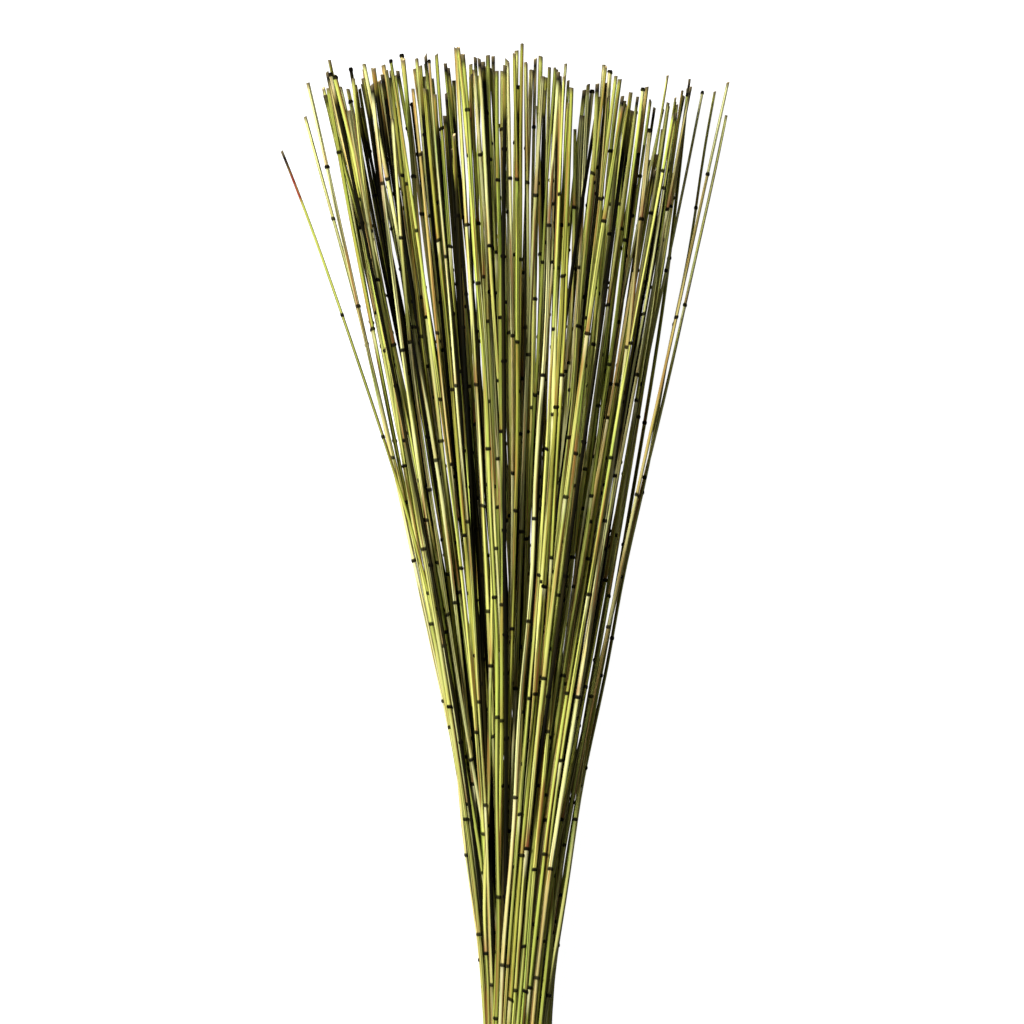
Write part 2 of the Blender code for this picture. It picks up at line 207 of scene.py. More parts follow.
def packed_spots(radii):
    """The reeds' places at the twine: discs drawn together and pushed apart until none overlap."""
    index = np.arange(len(radii)) + 0.5
    turn = index * math.pi * (3 - math.sqrt(5))
    reach = np.sqrt(index / len(radii)) * START_REACH
    spots = np.stack([reach * np.cos(turn), reach * np.sin(turn)], axis=1)
    need = radii[:, None] + radii + PACKING_GAP
    np.fill_diagonal(need, 0)
    for squeeze in np.append(np.linspace(FIRST_DRAW, 0, DRAW_ROUNDS), np.zeros(SETTLE_ROUNDS)):
        spots = spots * (1 - squeeze)
        between = spots[:, None] - spots
        apart = np.sqrt((between**2).sum(2)) + 1e-9
        push = np.clip(need - apart, 0, None) / apart
        spots = spots + NUDGE * (between * push[..., None]).sum(1)
    return spots


def bundle_radius_of(radii, spots):
    return float((np.hypot(*spots.T) + radii).max())


def fanned(spots, along, bundle_radius):
    """Across and up for each reed at each distance along, in a bunch that opens evenly."""
    turn = FAN_TWIST * np.tanh(along / TWIST_LENGTH)
    across = spots[:, :1] * np.cos(turn) + spots[:, 1:] * np.sin(turn)
    up = spots[:, 1:] * np.cos(turn) - spots[:, :1] * np.sin(turn)
    share = np.clip(across / (LEVEL_REACH * bundle_radius), -1, 1)
    spread_out = (np.arcsin(share) + share * np.sqrt(1 - share**2)) * 2 / math.pi
    level = share + LEVELLING * (spread_out - share)
    opened = opening(along)
    height_share = np.clip((up / bundle_radius + 1) / 2, 0, 1)
    rise = opened * (FAN_RISE * height_share**RISE_POWER - FAN_DROOP / opening(FAN_LENGTH))
    settled = smooth_step(np.abs(along) / SETTLE_LENGTH)
    lift = (TWINE_GAP + 2 * TWINE_RADIUS - TWINE_SINK) * (1 - settled)
    return np.stack([across + FAN_SPLAY * opened * level, up + bundle_radius + rise + lift], axis=2)


def leans_and_bows(rng, spots, bundle_radius):
    """How far each reed's tip leans and its middle bows, across and up, away from the even fan.

    Leans are turned back at the fan's edges, and reeds at its left rim bow inwards. Of several draws, a reed
    takes the one whose line is the least crowded, seen from above, by the reeds before it.
    """
    levels = np.array(CROWD_LEVELS)
    opened = opening(levels) / opening(TALLEST)
    even = fanned(spots, levels, bundle_radius)[..., 0]
    ends = fanned(spots, np.array([TALLEST]), bundle_radius)[:, 0, 0]
    lines = np.full((REED_COUNT, len(levels)), np.inf)
    lean, bow = np.zeros((2, REED_COUNT, 2))
    for reed in range(REED_COUNT):
        leant = np.clip(rng.normal(0, LEAN_SPREAD, (LEAN_DRAWS, 2)), np.negative(MOST_LEAN), MOST_LEAN)
        past = ends[reed] + leant[:, 0]
        leant[:, 0] -= 2 * (past - np.clip(past, *FAN_EDGES))
        bowed = rng.normal(0, BOW_SPREAD, (LEAN_DRAWS, 2))
        across = even[reed] + opened * leant[:, :1] + 4 * opened * (1 - opened) * bowed[:, :1]
        crowd = np.clip(1 - np.abs(across[:, None] - lines) / CROWD_REACH, 0, 1).sum((1, 2))
        best = np.argmin(crowd)
        lean[reed], bow[reed], lines[reed] = leant[best], bowed[best], across[best]
    rim = ends < FAN_RIM
    bow[rim, 0] = np.abs(bow[rim, 0])
    return lean, bow


def crown_reeds(spots, lean, bundle_radius):
    """The reed that ends at each tip of CROWN_TIPS: the nearest that is still free, outermost tips first."""
    chosen = {}
    for across, along in sorted(np.array(CROWN_TIPS) * MM, key=lambda tip: -abs(tip[0])):
        miss = np.abs(fanned(spots, np.array([along]), bundle_radius)[:, 0, 0] + lean[:, 0] - across)
        miss[list(chosen)] = math.inf
        chosen[int(np.argmin(miss))] = (across, along)
    return chosen


def first_lines(rng, radii, spots):
    """The reeds' turns, their places there before they are parted, the crown, the leans and the bows."""
    bundle_radius = bundle_radius_of(radii, spots)
    lean, bow = leans_and_bows(rng, spots, bundle_radius)
    crown = crown_reeds(spots, lean, bundle_radius)
    at_tips = fanned(spots, np.array([TALLEST]), bundle_radius)[:, 0, 0] + lean[:, 0]
    skyline = np.minimum(np.interp(at_tips, *(np.array(CROWN_TIPS).T * MM)), TALLEST)
    tips = skyline - np.minimum(rng.exponential(USUAL_SHORTFALL, REED_COUNT), MOST_SHORTFALL)
    for reed, (across, along) in crown.items():
        tips[reed] = along
        lean[reed, 0] = across - fanned(spots[[reed]], np.array([along]), bundle_radius)[0, 0, 0]
    stray = min(crown, key=lambda reed: crown[reed][0])
    bow[stray] = (STRAY_BOW, 0)
    butts = rng.uniform(-1, 1, REED_COUNT) * BUTT_UNEVENNESS - BUTT_LENGTH
    turns = np.column_stack([butts, np.tile(TURNS, (REED_COUNT, 1)), tips])
    places = np.stack([fanned(spots, column, bundle_radius)[np.arange(REED_COUNT), np.arange(REED_COUNT)]
                       for column in turns.T], axis=1)
    opened = opening(turns) / opening(tips)[:, None]
    places += (opened * np.sign(turns))[..., None] * lean[:, None]
    places += (4 * opened * (1 - opened))[..., None] * bow[:, None]
    return turns, places, np.array(list(crown)), lean, bow


def slim_tips(rng, places):
    """Each reed's girth at the fan's end, as a share of its girth at the twine: least at the fan's edges."""
    ends = places[:, -1, 0]
    edge = (ends < SLIM_BEYOND[0]) | (ends > SLIM_BEYOND[1])
    low, high = np.where(edge[:, None], SLIM_TIP_SHARES, TIP_SHARES).T
    return rng.uniform(low, high)


def parted(radii, tip_shares, turns, places, crown):
    """The reeds' places once they have pushed each other apart, and off the floor, all along their length."""
    checks = np.arange(turns.min(), turns.max(), CHECK_STEP)
    weights = np.array([[np.interp(checks, row, unit) for unit in np.eye(turns.shape[1])] for row in turns])
    present = (checks >= turns[:, :1]) & (checks <= turns[:, -1:])
    girth = radius_at(radii[:, None], tip_shares[:, None], checks)
    lowest = radius_at(radii[:, None], tip_shares[:, None], turns) + FLOOR_GAP
    places[..., 1] = np.maximum(places[..., 1], lowest)
    lines = np.einsum("rtk,rtc->rck", weights, places)
    one, other = np.triu_indices(REED_COUNT, 1)
    near = np.hypot(*np.moveaxis(lines[one] - lines[other], 1, 0)).min(1) < NEAR
    one, other = one[near], other[near]
    slant = np.sqrt(1 + (np.gradient(lines, checks, axis=2) ** 2).sum(1))
    need = (girth * slant)[one] + (girth * slant)[other] + CLEARANCE
    need *= present[one] & present[other]
    for _ in range(PUSH_ROUNDS):
        lines = np.einsum("rtk,rtc->rck", weights, places)
        between = lines[one] - lines[other]
        apart = np.hypot(between[:, 0], between[:, 1]) + 1e-9
        overlap = np.clip(need - apart, 0, None)
        push = between * (overlap / apart / 2)[:, None]
        pushed = np.zeros_like(lines)
        np.add.at(pushed, one, push)
        np.add.at(pushed, other, -push)
        touched = np.zeros_like(girth)
        np.add.at(touched, one, overlap > 0)
        np.add.at(touched, other, overlap > 0)
        share = np.einsum("rtk,rk->rt", weights, np.minimum(touched, 1)) + STEADY_SHARE
        step = PUSH_STRENGTH * np.einsum("rtk,rck->rtc", weights, pushed) / share[..., None]
        step[:, TIE_TURN] = 0
        step[crown, -1, 0] = 0
        places = places + step
        places[..., 1] = np.maximum(places[..., 1], lowest)
    return places


def sheaf_members(spots):
    """Indices of the outer reeds, in order round the bunch, and one list of indices for each sheaf."""
    reach = np.hypot(*spots.T)
    outer = np.argsort(-reach)[:OUTER_REEDS]
    outer = outer[np.argsort(np.arctan2(*spots[outer].T))]
    middles = np.array([
        (distance * math.cos(2 * math.pi * k / count), distance * math.sin(2 * math.pi * k / count))
        for distance, count in SHEAF_RINGS for k in range(count)
    ])
    inner = np.setdiff1d(np.arange(REED_COUNT), outer)
    nearest = np.argmin(np.hypot(*np.moveaxis(spots[inner][:, None] - middles, 2, 0)), axis=1)
    return outer, [inner[nearest == k] for k in range(len(middles))]


class Bunch:
    """Every reed's line, girth and place in the bunch, worked out once."""

    def __init__(self):
        rng = np.random.default_rng(SHAPE_SEED)
        self.radii = rng.triangular(SLIM_RADIUS, USUAL_RADIUS, STOUT_RADIUS, REED_COUNT)
        self.spots = packed_spots(self.radii)
        self.radius = bundle_radius_of(self.radii, self.spots)
        self.turns, self.places, crown, self.lean, self.bow = first_lines(rng, self.radii, self.spots)
        self.crown = set(crown.tolist())
        self.stray = int(np.argmin(self.places[:, -1, 0]))
        self.tip_shares = slim_tips(rng, self.places)
        self.shift = parted(self.radii, self.tip_shares, self.turns, self.places.copy(), crown) - self.places
        self.outer, self.sheaves = sheaf_members(self.spots)
        low, high = (np.array(corner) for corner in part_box("twine"))
        self.origin = np.array([(low[0] + high[0]) / 2, low[1] + TWINE_TURNS * TWINE_RADIUS, 0])

    def line(self, reed, along):
        """The reed's middle at each distance along, in the frame: the even fan, with lean, bow, push and wobble.

        Between its turns the push is a smooth cubic, and the wobble is a sine wave about two joints long that
        fades out at the twine.
        """
        place = fanned(self.spots[[reed]], along, self.radius)[0]
        opened = opening(along) / opening(self.turns[reed, -1])
        place += (opened * np.sign(along))[:, None] * self.lean[reed]
        place += (4 * opened * (1 - opened))[:, None] * self.bow[reed]
        place += eased(along, self.turns[reed], self.shift[reed])
        rng = np.random.default_rng((LOOKS_SEED, reed))
        swing = rng.normal(0, WOBBLE, 2) * smooth_step(np.abs(along) / WOBBLE_FADE)[:, None]
        phase, length = rng.uniform(0, 2 * math.pi, 2), rng.uniform(*WOBBLE_LENGTHS, 2)
        place += swing * np.sin(phase + 2 * math.pi * along[:, None] / length)
        return np.stack([place[:, 0], along, place[:, 1]], axis=1) + self.origin


def eased(along, turns, values):
    """Values at the turns carried between them by cubics whose slopes at the turns agree."""
    slopes = np.gradient(values, turns, axis=0)
    span = np.clip(np.searchsorted(turns, along) - 1, 0, len(turns) - 2)
    width = (turns[span + 1] - turns[span])[:, None]
    share = np.clip((along - turns[span])[:, None] / width, 0, 1)
    ahead = smooth_step(share)
    start_pull = share * (1 - share) ** 2
    end_pull = share**2 * (share - 1)
    return (values[span] * (1 - ahead) + values[span + 1] * ahead
            + width * (slopes[span] * start_pull + slopes[span + 1] * end_pull))


def unit(vectors):
    return vectors / np.linalg.norm(vectors, axis=-1, keepdims=True)


def cross_frame(ahead):
    """Two unit directions square to the path at each point: one level with the floor, one mostly upwards."""
    side = np.cross(ahead, (0, 0, 1))
    side = unit(np.where(np.linalg.norm(side, axis=1, keepdims=True) > 1e-6, side, (1, 0, 0)))
    return side, unit(np.cross(side, ahead))


def grid_faces(rows, sides):
    """Quads of a closed tube whose points are stored row by row, facing outwards, with a fan on each end's point.

    The first end's point is number rows * sides, and the last end's point is the one after it.
    """
    ring = np.arange(sides)
    after = (ring + 1) % sides
    first = np.arange(rows - 1)[:, None] * sides
    quads = np.stack([first + ring, first + sides + ring, first + sides + after, first + after], axis=2)
    last = (rows - 1) * sides
    start_fan = np.stack([np.full(sides, rows * sides), ring, after], axis=1)
    end_fan = np.stack([np.full(sides, rows * sides + 1), last + after, last + ring], axis=1)
    return quads.reshape(-1, 4), np.concatenate([start_fan, end_fan])


def make_piece(name, surface, material):
    """A smooth mesh object from whole arrays: points, faces, one value for each point, and a UV for each corner."""
    points, quads, triangles, readings, quad_uv, fan_uv = surface
    mesh = bpy.data.meshes.new(name)
    corners = np.concatenate([quads.ravel(), triangles.ravel()])
    counts = np.concatenate([np.full(len(quads), 4), np.full(len(triangles), 3)])
    mesh.vertices.add(len(points))
    mesh.vertices.foreach_set("co", points.astype(np.float32).ravel())
    mesh.loops.add(len(corners))
    mesh.loops.foreach_set("vertex_index", corners.astype(np.int32))
    mesh.polygons.add(len(counts))
    mesh.polygons.foreach_set("loop_start", (np.cumsum(counts) - counts).astype(np.int32))
    mesh.polygons.foreach_set("use_smooth", np.ones(len(counts), bool))
    mesh.update(calc_edges=True)
    layer = mesh.uv_layers.new(name="surface")
    layer.data.foreach_set("uv", np.append(quad_uv, fan_uv).astype(np.float32))
    for title, values in readings.items():
        reading = mesh.attributes.new(title, "FLOAT", "POINT")
        reading.data.foreach_set("value", values.astype(np.float32))
    if mesh.validate():
        raise RuntimeError(f"{name}: its mesh has faulty faces")
    mesh.materials.append(material)
    piece = bpy.data.objects.new(name, mesh)
    bpy.context.scene.collection.objects.link(piece)
    return piece


class Profile:
    """A reed's profile from its butt to its tip: one row of figures for each ring of points."""

    COLUMNS = ("along", "girth", "band", "pale", "blush", "pith", "tilt", "stretch")

    def __init__(self, reed, butt, tip, radius, tip_share, looks):
        rng = np.random.default_rng((LOOKS_SEED, reed, 1))
        joints = butt + rng.uniform(0.1, 1) * looks.longest_stretch
        joints += np.concatenate([[0], np.cumsum(rng.uniform(looks.shortest_stretch, looks.longest_stretch, 12))])
        knob = rng.random() < looks.knob_share
        joints = joints[joints < tip - looks.shortest_stretch * 0.5]
        if knob:
            joints = np.append(joints, tip - KNOB_BACK)
        self.joints = joints
        offsets, girth, band, pale, blush = np.array(JOINT_PROFILE).T
        count = len(joints)
        along = (joints[:, None] + offsets * MM).ravel()
        stretch = (np.arange(count)[:, None] + (offsets > 0)).ravel()
        tilt = (rng.normal(0, JOINT_TILT, count)[:, None] * (np.abs(offsets) < 3)).ravel()
        strong = rng.uniform(0.5, 1, count)[:, None]
        bloomed = strong * (rng.random(count) < looks.bloom_share)[:, None]
        blushed = strong * (rng.random(count) < looks.blush_share)[:, None]
        swell = 1 + (girth - 1) * (looks.collar - 1) / COLLAR_DRAWN * rng.uniform(0.7, 1.15, count)[:, None]
        jointed = np.stack([along, swell.ravel(), (band * strong**0.1).ravel(), (pale * bloomed).ravel(),
                            (blush * blushed).ravel(), np.zeros_like(along), tilt, stretch], axis=1)
        plain = np.append(np.arange(butt, tip - TIP_ROWS[-1], RING_STEP), tip - np.array(TIP_ROWS))
        nearest = np.abs(plain[:, None] - joints).min(1)
        plain = plain[(nearest > -offsets[0] * MM) & (plain > butt + PITH_DEPTH)]
        smooth = np.zeros((len(plain), len(self.COLUMNS)))
        smooth[:, 0], smooth[:, 1] = plain, 1
        smooth[:, 7] = np.searchsorted(joints, plain)
        rows = np.concatenate([jointed, smooth])
        end = tip - KNOB_BACK if knob else tip - 0.5 * MM
        rows = rows[(rows[:, 0] > butt + 0.5 * MM) & (rows[:, 0] < end)]
        rows = rows[np.argsort(rows[:, 0], kind="stable")]
        slope = rng.normal(0, looks.cut_slope) if not knob else 0
        first = [(butt + PITH_DEPTH, PITH_SHARE, 0, 0, 0, 1, 0, 0), (butt, PITH_SHARE, 0, 0, 0, 1, 0, 0),
                 (butt, 1, 0, 0, 0, 0.4, 0, 0)]
        if knob:
            last = [(tip - 0.5 * KNOB_BACK, KNOB_GIRTH, 1, 0, 0, 0, 0, count), (tip, 0.75 * KNOB_GIRTH, 1, 0, 0, 0, 0, count)]
        else:
            last = [(tip, 1, 0, 0, 0, 0.2, slope, count), (tip, PITH_SHARE, 0, 0, 0, 1, slope, count),
                    (tip - PITH_DEPTH / 2, PITH_SHARE, 0, 0, 0, 1, slope, count)]
        self.rows = np.concatenate([np.array(first), rows, np.array(last)])
        self.rows[:, 1] *= radius_at(radius, tip_share, self.rows[:, 0])

    def column(self, title):
        return self.rows[:, self.COLUMNS.index(title)]


def reed_surface(bunch, reed, looks):
    """One reed's points, faces, readings and UV.

    A point is the reed's middle at its row's distance along, plus the row's girth times a unit direction that goes
    once round from the underside. At a joint and at a cut tip the ring is slanted: each point moves along by the
    row's tilt times its own distance to one side.
    """
    butt, tip = bunch.turns[reed, 0], bunch.turns[reed, -1]
    profile = Profile(reed, butt, tip, bunch.radii[reed], bunch.tip_shares[reed], looks)
    along, girth = profile.column("along"), profile.column("girth")
    middle = bunch.line(reed, along)
    ahead = unit(bunch.line(reed, along + MM) - bunch.line(reed, along - MM))
    side, upward = cross_frame(ahead)
    around = np.arange(REED_SIDES) / REED_SIDES
    angle = 2 * math.pi * around[None, :, None] - math.pi / 2
    outward = np.cos(angle) * side[:, None] + np.sin(angle) * upward[:, None]
    facing = np.random.default_rng((LOOKS_SEED, reed, 2)).uniform(0, 2 * math.pi)
    slide = profile.column("tilt")[:, None] * girth[:, None] * np.cos(angle[..., 0] - facing)
    points = middle[:, None] + girth[:, None, None] * outward + slide[..., None] * ahead[:, None]
    rows = len(along)
    points = np.concatenate([points.reshape(-1, 3), middle[[0, -1]]])
    points[:, 2] = np.maximum(points[:, 2], FLOOR_GAP)
    quads, triangles = grid_faces(rows, REED_SIDES)
    rng = np.random.default_rng((LOOKS_SEED, reed, 3))
    kind = looks.kind_of(bunch, reed, rng)
    steps = rng.normal(0, looks.stretch_change, 20)
    dulls = rng.uniform(0, 1, 20)
    stretch = profile.column("stretch").astype(int)
    dark_tip = rng.uniform(*DARK_TIP_LENGTHS) * (rng.random() < looks.dark_tip_share)
    kinds = kind + steps[stretch]
    # Painted light: a dark reed turns lighter towards its tip, where the tip comes out of the bunch's shade
    if kind < looks.weathered_and_shade_share:
        lit_tip = smooth_step((along - tip) / rng.uniform(*LIT_TIP_LENGTHS) + 1)
        kinds = kind + (LIT_KINDS[0] - kind) * lit_tip
    red_tip = 0
    if reed == bunch.stray:
        dark_tip, red_tip = STRAY_DARK_TIP, STRAY_RED_TIP
    by_row = {
        "kind": np.clip(kinds, 0, 1),
        "dull": dulls[stretch],
        "band": profile.column("band"),
        "pale": profile.column("pale"),
        "blush": np.maximum(profile.column("blush"), STRAY_RED * (tip - along < red_tip)),
        "pith": profile.column("pith"),
        "tip_shade": np.clip(TIP_SHADE_PULL * (1 - (tip - along) / (dark_tip + FLOOR_GAP)), 0, 1),
    }
    readings = {title: np.append(np.repeat(values, REED_SIDES), values[[0, -1]]) for title, values in by_row.items()}
    start = reed * UV_ROW
    u = np.arange(REED_SIDES + 1) / REED_SIDES
    row, ring = np.divmod(quads[:, 0], REED_SIDES)
    quad_uv = np.stack([
        np.stack([u[ring], u[ring], u[ring + 1], u[ring + 1]], axis=1),
        start + np.stack([along[row], along[row + 1], along[row + 1], along[row]], axis=1),
    ], axis=2)
    fan_uv = np.zeros((len(triangles), 3, 2))
    fan_uv[:REED_SIDES, :, 1], fan_uv[REED_SIDES:, :, 1] = start + along[0], start + along[-1]
    return points, quads, triangles, readings, quad_uv, fan_uv


def gathered(surfaces):
    """Several surfaces as one set of arrays."""
    points, quads, triangles, readings, quad_uv, fan_uv = zip(*surfaces)
    starts = np.cumsum([0] + [len(each) for each in points[:-1]])
    return (np.concatenate(points), np.concatenate([each + start for each, start in zip(quads, starts)]),
            np.concatenate([each + start for each, start in zip(triangles, starts)]),
            {title: np.concatenate([each[title] for each in readings]) for title in readings[0]},
            np.concatenate(quad_uv), np.concatenate(fan_uv))


def strand_path(route, step):
    """Points every step along a smooth cubic curve that passes through the route's points."""
    route = np.asarray(route, float)
    places = np.concatenate([[0], np.cumsum(np.linalg.norm(np.diff(route, axis=0), axis=1))])
    count = max(int(places[-1] / step), 8)
    return eased(np.linspace(0, places[-1], count), places, route)


def twisted_surface(path, radius, number, ends=(0.5, 0.5)):
    """Twisted twine along a path: its points, faces, readings and UV.

    The outline is a circle pressed into STRANDS lobes, each lobe's swell being the size of a cosine of its turn, and
    the lobes turn once round in TWIST_PITCH along the path. Both ends narrow to their share over a few rings.
    """
    steps = np.linalg.norm(np.diff(path, axis=0), axis=1)
    along = np.concatenate([[0], np.cumsum(steps)])
    ahead = unit(np.gradient(path, along, axis=0))
    side, upward = cross_frame(ahead)
    angle = 2 * math.pi * np.arange(TWINE_SIDES) / TWINE_SIDES
    turn = 2 * math.pi * along / TWIST_PITCH
    lobe = np.abs(np.cos(STRANDS / 2 * (angle[None] - turn[:, None])))
    closing = np.minimum(np.interp(along, (0, radius), (ends[0], 1)),
                         np.interp(along[-1] - along, (0, radius), (ends[1], 1)))
    reach = radius * (1 - LOBE_DEPTH + LOBE_DEPTH * lobe) * closing[:, None]
    outward = np.cos(angle)[None, :, None] * side[:, None] + np.sin(angle)[None, :, None] * upward[:, None]
    points = np.concatenate([(path[:, None] + reach[..., None] * outward).reshape(-1, 3), path[[0, -1]]])
    points[:, 2] = np.maximum(points[:, 2], 0)
    quads, triangles = grid_faces(len(path), TWINE_SIDES)
    groove = np.append((1 - lobe).ravel(), (0.5, 0.5))
    u = np.arange(TWINE_SIDES + 1) / TWINE_SIDES
    row, ring = np.divmod(quads[:, 0], TWINE_SIDES)
    quad_uv = np.stack([
        np.stack([u[ring], u[ring], u[ring + 1], u[ring + 1]], axis=1),
        number + np.stack([along[row], along[row + 1], along[row + 1], along[row]], axis=1),
    ], axis=2)
    return points, quads, triangles, {"groove": groove}, quad_uv, np.full((len(triangles), 3, 2), float(number))


def fibre_surfaces(path, radius, count, rng):
    """Loose fibres of jute: three-sided hairs that leave the twine's surface at a slant and end in a point."""
    at = rng.integers(2, len(path) - 2, count)
    ahead = unit(path[at + 1] - path[at - 1])
    side, upward = cross_frame(ahead)
    turn = rng.uniform(0, 2 * math.pi, count)[:, None]
    outward = np.cos(turn) * side + np.sin(turn) * upward
    sideways = np.cos(turn) * upward - np.sin(turn) * side
    length = rng.uniform(*FIBRE_LENGTHS, count)[:, None]
    root = path[at] + outward * radius * 0.7
    slant = unit(outward * rng.uniform(0.2, 1, (count, 1)) + ahead * rng.choice((-1, 1), (count, 1))
                 + sideways * rng.normal(0, 0.5, (count, 1)))
    bend = unit(slant + ahead * 0.5 + sideways * rng.normal(0, 0.6, (count, 1)))
    knee, tip = root + slant * length * 0.5, root + slant * length * 0.5 + bend * length * 0.5
    across, other = unit(np.cross(slant, outward)), outward
    corners = np.stack([across, -0.5 * across + 0.87 * other, -0.5 * across - 0.87 * other], axis=1) * FIBRE_RADIUS
    points = np.concatenate([root[:, None] + corners, knee[:, None] + 0.7 * corners, tip[:, None],
                             root[:, None]], axis=1)
    points[..., 2] = np.maximum(points[..., 2], 0)
    start = np.arange(count)[:, None, None] * 8
    quads = start + np.array([(0, 3, 4, 1), (1, 4, 5, 2), (2, 5, 3, 0)])
    triangles = start + np.array([(3, 6, 4), (4, 6, 5), (5, 6, 3), (7, 0, 1), (7, 1, 2), (7, 2, 0)])
    quads, triangles = quads.reshape(-1, 4), triangles.reshape(-1, 3)
    readings = {"groove": np.full(count * 8, 0.1)}
    return (points.reshape(-1, 3), quads, triangles, readings,
            np.zeros((len(quads), 4, 2)), np.zeros((len(triangles), 3, 2)))


def twine_paths(bunch):
    """The twine's runs: the turns round the bunch, the knot and its two tails.

    The turns are a helix: once round the bunch for each twine's width along it, with its ends under the knot. The
    knot is a trefoil: sin t + 2 sin 2t across, cos t - 2 cos 2t along and -sin 3t up, pressed flat.
    """
    inner = bunch.radius + TWINE_GAP
    outer = inner + 2 * TWINE_RADIUS
    middle = bunch.origin + (0, 0, outer - TWINE_SINK)
    turn = np.linspace(0.04, TWINE_TURNS - 0.04, int(TWINE_TURNS * 2 * math.pi * outer / TWINE_STEP))
    angle = 2 * math.pi * turn
    advance = (turn - TWINE_TURNS / 2) * 2 * TWINE_RADIUS * (TWINE_TURNS - 1) / TWINE_TURNS
    reach = inner + TWINE_RADIUS
    helix = middle + np.stack([reach * np.sin(angle), advance, reach * np.cos(angle)], axis=1)
    top = middle + (0, 0, outer)
    t = np.linspace(0.15, 2 * math.pi - 0.15, 150)
    knot = np.stack([np.sin(t) + 2 * np.sin(2 * t), np.cos(t) - 2 * np.cos(2 * t), -np.sin(3 * t)], axis=1)
    knot = top + KNOT_LIFT + knot * KNOT_SCALE
    tails = [strand_path(top + np.array(route) * MM, TWINE_STEP) for route in TAIL_ROUTES.values()]
    return helix, knot, *tails


def linear(red, green, blue):
    """A colour that a screen shows as these shares of 255, as the light it stands for."""
    share = np.array((red, green, blue)) / 255
    return tuple(np.where(share <= 0.04045, share / 12.92, ((share + 0.055) / 1.055) ** 2.4).tolist())


class Value:
    """A number that changes over a surface: sums written with it become nodes."""

    def __init__(self, finish, socket):
        self.finish, self.socket = finish, socket

    def _worked(self, operation, *values, clamped=False):
        settings = {"operation": operation, "use_clamp": clamped}
        return self.finish.value("ShaderNodeMath", settings, dict(enumerate(values)))

    def __add__(self, other):
        return self._worked("ADD", self, other)

    __radd__ = __add__

    def __sub__(self, other):
        return self._worked("SUBTRACT", self, other)

    def __rsub__(self, other):
        return self._worked("SUBTRACT", other, self)

    def __mul__(self, other):
        return self._worked("MULTIPLY", self, other)

    __rmul__ = __mul__

    def __truediv__(self, other):
        return self._worked("DIVIDE", self, other)

    def __pow__(self, other):
        return self._worked("POWER", self, other)

    def __gt__(self, other):
        return self._worked("GREATER_THAN", self, other)

    def sine(self):
        return self._worked("SINE", self)

    def held(self):
        """The number kept between 0 and 1."""
        return self._worked("ADD", self, 0, clamped=True)

    def between(self, low, high):
        """0 below low and 1 above high, rising smoothly in between."""
        settings = {"interpolation_type": "SMOOTHSTEP"}
        return self.finish.value("ShaderNodeMapRange", settings, {0: self, 1: low, 2: high, 3: 0, 4: 1})


class Finish:
    """A material under way, with the few calls that its nodes are made by."""

    def __init__(self, name, plain):
        self.material = bpy.data.materials.new(name)
        self.material.use_nodes = True
        self.tree = self.material.node_tree
        self.shader = self.tree.nodes["Principled BSDF"]
        for title, value in plain.items():
            self.shader.inputs[title].default_value = value

    def node(self, kind, settings=None, sockets=None):
        """A node of this kind: its settings first, then the values or links of its sockets."""
        node = self.tree.nodes.new(kind)
        for title, value in (settings or {}).items():
            if title == "stops":
                self.set_stops(node.color_ramp.elements, value)
            else:
                setattr(node, title, value)
        for title, value in (sockets or {}).items():
            socket = node.inputs[title]
            if isinstance(value, Value):
                value = value.socket
            if isinstance(value, bpy.types.NodeSocket):
                self.tree.links.new(value, socket)
            else:
                socket.default_value = value
        return node

    def set_stops(self, stops, wanted):
        while len(stops) > 1:
            stops.remove(stops[-1])
        for number, (position, colour) in enumerate(wanted):
            stop = stops[0] if number == 0 else stops.new(position)
            stop.position = position
            stop.color = (*colour, 1)

    def value(self, kind, settings=None, sockets=None, output=0):
        return Value(self, self.node(kind, settings, sockets).outputs[output])

    def reading(self, title):
        """One of the piece's own figures, kept on its points."""
        return self.value("ShaderNodeAttribute", {"attribute_name": title}, output="Fac")

    def mixed(self, share, one, other, blend="MIX"):
        """Colour one, gone over to the other by the share."""
        settings = {"data_type": "RGBA", "blend_type": blend, "clamp_factor": True}
        one, other = (c if isinstance(c, bpy.types.NodeSocket) else (*c, 1) for c in (one, other))
        return self.node("ShaderNodeMix", settings, {"Factor": share, "A": one, "B": other}).outputs["Result"]

    def place(self, scale):
        """The surface's own UV, stretched by the scale."""
        uv = self.node("ShaderNodeUVMap", {"uv_map": "surface"}).outputs[0]
        return self.node("ShaderNodeMapping", None, {"Vector": uv, "Scale": scale}).outputs[0]

    def noise(self, scale, detail=2.0, roughness=0.5):
        return self.value("ShaderNodeTexNoise", None, {
            "Vector": self.place(scale), "Scale": 1.0, "Detail": detail, "Roughness": roughness})

    def feed(self, sockets):
        """Links what changes over the surface to the shader."""
        for title, value in sockets.items():
            self.tree.links.new(value.socket if isinstance(value, Value) else value, self.shader.inputs[title])


